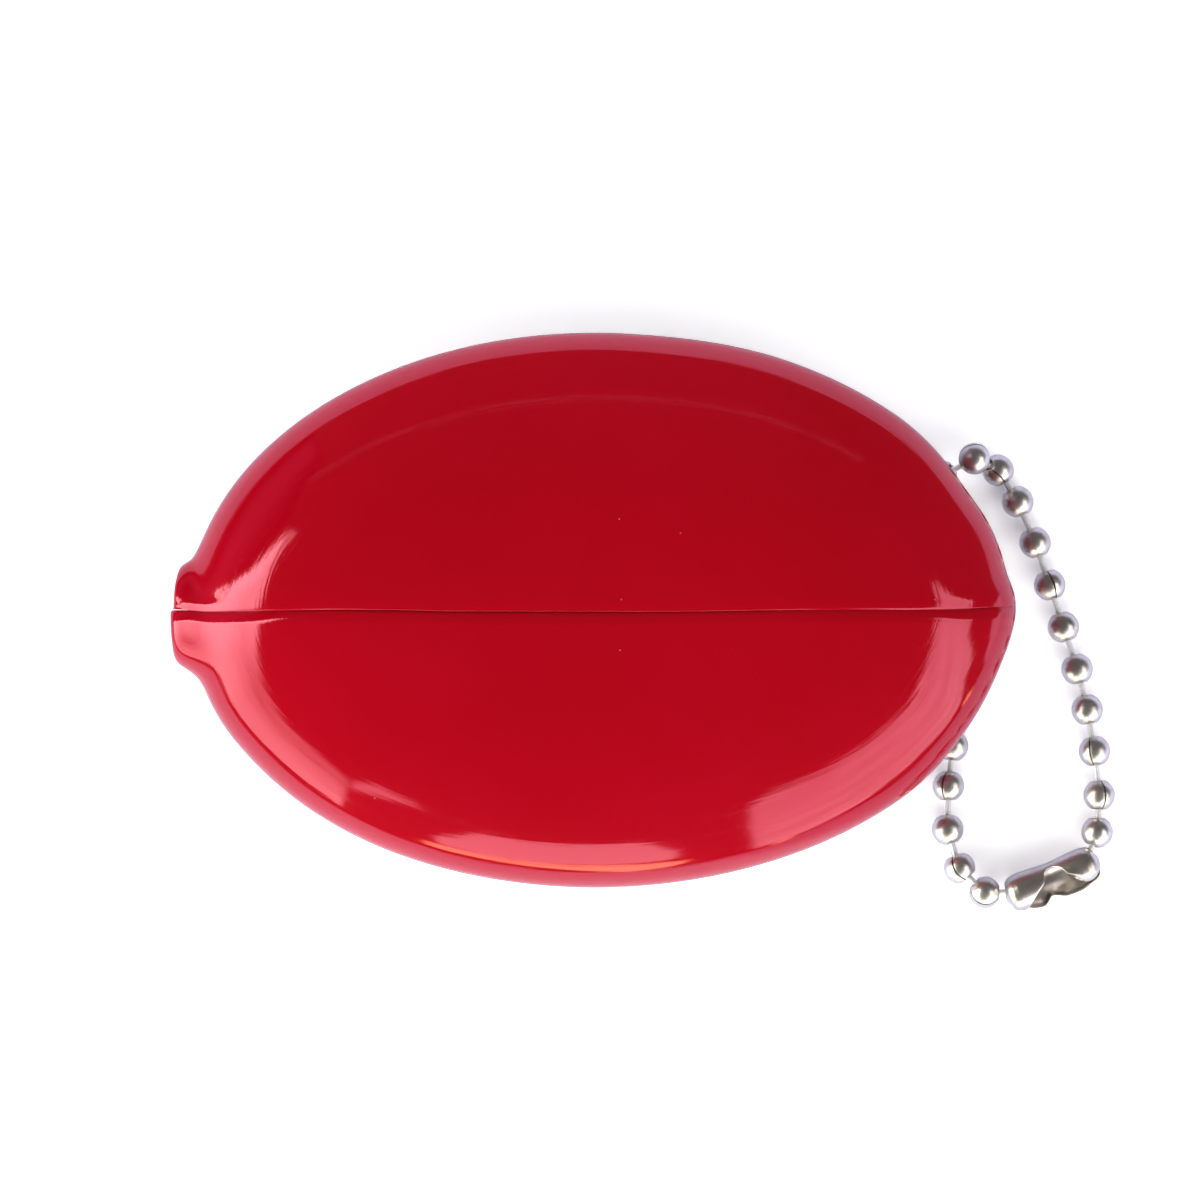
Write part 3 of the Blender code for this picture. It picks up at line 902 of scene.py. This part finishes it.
def table_material():
    """White table top: one colour to the camera, one for light that spreads, and two mirrored.

    The mirrored colours are painted reflection colours, bluer and brighter than its lit colour,
    and brighter still on its near side, short of the chain. Mirrored, it ends at its edges.
    """
    made = bpy.data.materials.new("white_table")
    nodes = Nodes(made)
    camera_ray = nodes.add("LightPath", None, None, "Is Camera Ray")
    glossy_ray = camera_ray.other("Is Glossy Ray")
    seen = nodes.mix(camera_ray, rgb(*TABLE_LIT), rgb(*TABLE_SEEN))
    place = nodes.add("SeparateXYZ", None, {0: nodes.place()})
    across, along = place.other("X"), place.other("Y")
    # painted reflection: the table is mirrored brighter on its near side, short of the chain
    painted_brighter_near = (1 - along.above(*NEAR_FADE)) * (1 - across.above(*CHAIN_FADE))
    mirrored = nodes.mix(painted_brighter_near, rgb(*PAINTED_REFLECTION_FAR), rgb(*PAINTED_REFLECTION_NEAR))
    colour = nodes.mix(glossy_ray, seen, mirrored)
    left, right, near, far = TABLE_EDGES
    beyond = 1 - (
        across.above(left - TABLE_BLUR, left)
        * (1 - across.above(right, right + TABLE_BLUR))
        * along.above(near - TABLE_BLUR, near)
        * (1 - along.above(far, far + TABLE_BLUR))
    )
    solid = nodes.add("BsdfDiffuse", None, {"Color": colour})
    clear = nodes.add("BsdfTransparent")
    top = nodes.add("MixShader", None, {0: glossy_ray * beyond, 1: solid, 2: clear})
    nodes.add("OutputMaterial", None, {"Surface": top})
    return made


def table():
    corners = [(-1, -1), (1, -1), (1, 1), (-1, 1)]
    mesh = bpy.data.meshes.new("table")
    points = [(x * TABLE_HALF, y * TABLE_HALF, TABLE_HEIGHT) for x, y in corners]
    mesh.from_pydata(points, [], [(0, 1, 2, 3)])
    mesh.materials.append(table_material())
    add_object("table", mesh)


def lamps():
    """Broad lamps round the room, which light the object and the table but aren't mirrored."""
    for azimuth, elevation, strength in LAMPS:
        name = f"lamp_{azimuth}_{elevation}"
        lamp_data = bpy.data.lights.new(name, "SUN")
        lamp_data.energy = math.pi * strength
        lamp_data.angle = math.radians(LAMP_SPREAD)
        made = add_object(name, lamp_data)
        made.visible_glossy = False
        made.rotation_euler = (math.radians(90 - elevation), 0, math.radians(azimuth + 90))


def room():
    """White to the camera, a dim warm ceiling in reflections, and for the rest a plain fill.

    The fill is FILL + FILL_LOW (1 - z)^2 in the direction's height z, a little bluer than grey.
    """
    world = bpy.data.worlds.new("studio")
    bpy.context.scene.world = world
    nodes = Nodes(world)
    camera_ray = nodes.add("LightPath", None, None, "Is Camera Ray")
    upward = nodes.add("SeparateXYZ", None, {0: nodes.place("Generated")}).other("Z")
    level = (1 - upward) ** 2.0 * FILL_LOW + FILL
    fill = nodes.add("CombineColor", None, {0: level, 1: level, 2: level * 1.03})
    seen = nodes.mix(camera_ray.other("Is Glossy Ray"), fill, rgb(*CEILING))
    colour = nodes.mix(camera_ray, seen, rgb(1, 1, 1))
    shader = nodes.add("Background", None, {"Color": colour, "Strength": 1.0})
    nodes.add("OutputWorld", None, {"Surface": shader})


def window(name, outline, radiance, colour, soft, streaks=0.3, crease=None):
    """Bright opening of the room, as a piece of a dome round the pouch.

    The outline is made of azimuths, in degrees from the chain's end towards the picture's top,
    each with the low and the high elevation that the opening runs between there. U of its map
    is the azimuth and V the share of the height.
    """
    azimuths, lows, highs = zip(*outline)
    count = 2 * int(azimuths[-1] - azimuths[0]) + 5
    turns = np.linspace(azimuths[0], azimuths[-1], count)[:, None]
    low, high = np.interp(turns, azimuths, lows), np.interp(turns, azimuths, highs)
    share = np.linspace(0, 1, 7)[None, :]
    azimuth, elevation = np.radians(turns), np.radians(low + (high - low) * share)
    level = np.cos(elevation)
    points = WINDOW_DISTANCE * stack(
        level * np.cos(azimuth), level * np.sin(azimuth), np.sin(elevation)
    )
    rows, columns = points.shape[:2]
    index = np.arange(rows * columns).reshape(rows, columns)
    quads = np.stack([index[:-1, :-1], index[1:, :-1], index[1:, 1:], index[:-1, 1:]], axis=-1)
    quads = quads.reshape(-1, 4)
    mesh = bpy.data.meshes.new(name)
    mesh.from_pydata(points.reshape(-1, 3).tolist(), [], quads.tolist())
    layer = mesh.uv_layers.new(name="opening")
    maps = stack(turns, share).reshape(-1, 2)
    layer.data.foreach_set("uv", maps[quads.reshape(-1)].reshape(-1))
    ends = azimuths[0], azimuths[-1]
    mesh.materials.append(window_glow(name, ends, radiance, colour, soft, streaks, crease))
    made = add_object(name, mesh)
    made.visible_camera = False
    made.visible_diffuse = False
    made.visible_shadow = False


def window_glow(name, ends, radiance, colour, soft, streaks, crease):
    """Light of a window: even, with blurred edges and faint level streaks.

    A crease is a dim line at some share of the height, with its half width, and the share of
    light that is left above it. It shows past the crease azimuths. A creased window is brighter
    up to the bright azimuths, and dimmer upwards.
    """
    made = bpy.data.materials.new(name)
    nodes = Nodes(made)
    turn = nodes.map("opening")
    share = turn.other("Y")
    streak_place = nodes.add("CombineXYZ", None, {0: turn * 0.035, 1: share * 14.0})
    streak = nodes.noise(streak_place, 1.0, 3.0, 0.6)
    wobble_place = nodes.add("CombineXYZ", None, {0: turn * 0.12, 1: 0.5})
    wobble = nodes.noise(wobble_place, 1.0, 2.0, 0.5) - 0.5
    level = share + wobble * 0.06
    start, end = ends
    glow = level.above(0, soft) * (1 - level.above(1 - soft, 1))
    glow = glow * turn.above(start, start + WINDOW_SIDE_BLUR)
    glow = glow * (1 - turn.above(end - WINDOW_SIDE_BLUR, end))
    glow = glow * (streak * (2 * streaks) + (1 - streaks))
    if crease:
        place, width, left_above = crease
        line = (level + wobble * 0.2 - place).size().above(0, width) * 0.6 + 0.4
        above_line = 1 - level.above(place, place + 0.03) * (1 - left_above)
        dark = 1 - line * above_line
        glow = glow * (1 - dark * turn.above(*CREASE_AZIMUTHS))
        glow = glow * (1 + BRIGHTER - turn.above(*BRIGHT_AZIMUTHS) * BRIGHTER)
        glow = glow * (1 - level.above(*UPWARD_SHARES) * UPWARD_DIMMING)
    shader = nodes.add("Emission", None, {"Color": rgb(*colour), "Strength": glow * radiance})
    nodes.add("OutputMaterial", None, {"Surface": shader})
    return made


def windows():
    """What the pouch mirrors besides the table and the ceiling.

    Windows stand on the left, at the bottom and on the right, with warm lamps below them. Pale
    floor shows on the right and far off, a thin tube at the top, and a dim wall on the left.
    """
    window(
        "window_left",
        (
            (142, 47.5, 48), (150, 44.5, 47.5), (158, 41, 47), (163, 37, 47), (168, 28, 46.5),
            (171, 15, 46.5), (176, 3, 46), (181, 3, 46), (190, 2.5, 45.5), (196, 2, 42.5),
            (205, 1, 39.5), (212, 2, 37), (225, 4, 34), (236, 4.5, 32), (239.5, 3, 30),
        ),
        WINDOW_LIGHT * 1.08, (1, 1, 0.86), soft=0.03, crease=(0.78, 0.035, 0.8),
    )
    window(
        "window_corner",
        ((239, 24, 31), (243, 30, 36.5), (251, 34.5, 36)),
        WINDOW_LIGHT * 0.8, (1, 0.95, 0.9), soft=0.15,
    )
    window(
        "window_bottom",
        ((252.5, 11, 15), (255, 9.5, 22), (258, 9, 29.5), (275, 9, 30), (277, 9.5, 24), (279, 12, 16)),
        WINDOW_LIGHT * 0.92, (1, 1, 0.9), soft=0.05, streaks=0.15,
    )
    window(
        "window_right",
        (
            (286, 1, 39), (290, 0, 42.5), (300, 1, 43), (307, 5, 42.5), (317, 4, 42),
            (325, 0, 41.5), (331, 0, 43), (334, 6, 44.5), (337, 14, 45.5), (341, 24, 46.5),
            (350, 28, 47.5), (362, 28, 47.5), (366, 33, 47.5), (370, 38, 47), (376, 42, 47),
            (382, 45.5, 46),
        ),
        WINDOW_LIGHT * 0.84, (1, 0.94, 0.9), soft=0.04, streaks=0.7,
    )
    window(
        "lamps_bottom",
        (
            (251, 4, 6.5), (254, 3, 9), (261, 2.5, 9), (265, 1.5, 9), (269, 0, 9), (273, -2.5, 9),
            (277, -1, 8), (280, 3, 6),
        ),
        WINDOW_LIGHT * 1.8, WARM, soft=0.1, streaks=0.6,
    )
    window(
        "lamp_streak", ((288, -6, 4), (290, -7, 5), (292, -6, 4)), WINDOW_LIGHT * 1.7, WARM, soft=0.2
    )
    window(
        "lamp_corner", ((331, -7, -3), (333, -8, -2), (335, -7, -3)), WINDOW_LIGHT * 1.7, WARM, soft=0.2
    )
    window(
        "floor_right",
        ((337, -8, -3), (343, -8, 5), (350, -8, 8), (358, -8, 7), (366, -8, 0), (372, -8, -5)),
        1.5, PALE, soft=0.1, streaks=0.1,
    )
    window(
        "floor_far",
        ((42, -2, -1.5), (52, -2, 1), (84, -2, 1.5), (112, -2, 1), (124, -2, -1.5)),
        1.1, PALE, soft=0.1, streaks=0.1,
    )
    window(
        "tube_top",
        (
            (55, 37, 37.9), (68, 39.3, 40.2), (80, 40.7, 41.6), (94, 41.4, 42.3),
            (108, 40.4, 41.3), (120, 37.8, 38.7), (134, 32.6, 33.5),
        ),
        1.0, (1, 1, 1), soft=0.3, streaks=0.8,
    )
    window(
        "wall_left",
        ((126, 0, 30), (140, 0, 42), (158, 0, 40), (176, 0, 20)),
        0.5, (1, 0.3, 0.6), soft=0.45, streaks=0.5,
    )


def camera():
    """Straight above the table, framed as the photograph is."""
    lens_data = bpy.data.cameras.new("camera")
    lens_data.sensor_width = SENSOR_WIDTH
    lens_data.lens = SENSOR_WIDTH * (CAMERA_HEIGHT - RIM_HEIGHT * MM) / (PHOTO_SIZE * PIXEL * MM)
    lens_data.clip_start = 0.01
    lens_data.clip_end = 20
    made = add_object("camera", lens_data)
    middle_x, middle_y = PHOTO_SIZE / 2 - PHOTO_ORIGIN[0], PHOTO_ORIGIN[1] - PHOTO_SIZE / 2
    made.location = (middle_x * PIXEL * MM, middle_y * PIXEL * MM, CAMERA_HEIGHT)
    bpy.context.scene.camera = made


def dress(pieces, material, inner=None):
    """Give pieces their material and slot; inner is the material of the points marked inside."""
    for piece in pieces:
        piece.data.materials.clear()
        piece.data.materials.append(material)
        if inner:
            piece.data.materials.append(inner)


def main():
    red = vinyl("red_vinyl", VINYL_ROUGH, VINYL_BOUNCE)
    red_inside = vinyl("red_vinyl_inside", VINYL_ROUGH_INSIDE)
    front = front_skin()
    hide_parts("front_shell")
    upper = back_skin("back_skin_upper", 1)
    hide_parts("back_panel_upper")
    lower = back_skin("back_skin_lower", -1)
    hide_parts("back_panel_lower")
    dress([front, upper, lower, chain_lug()], red, red_inside)
    places = chain_places()
    beads = [bead(number, places) for number in sorted(places)]
    links = [link(number, places) for number in sorted(places)[:-1]]
    bead_metal = nickel("nickel_beads", BEAD_PLATE, 0.3, 0.39, 0.9)
    wire_metal = nickel("nickel_wire", WIRE_PLATE, 0.25, 0.35, 0.0, WIRE_METALLIC)
    dress(beads, bead_metal)
    dress(links, wire_metal)
    folded = connector(places)
    dress([folded], nickel("nickel_sheet", SHEET_PLATE, 0.28, 0.37, 0.0))
    table()
    room()
    lamps()
    windows()
    camera()
    bpy.context.scene.view_settings.view_transform = "Standard"


main()
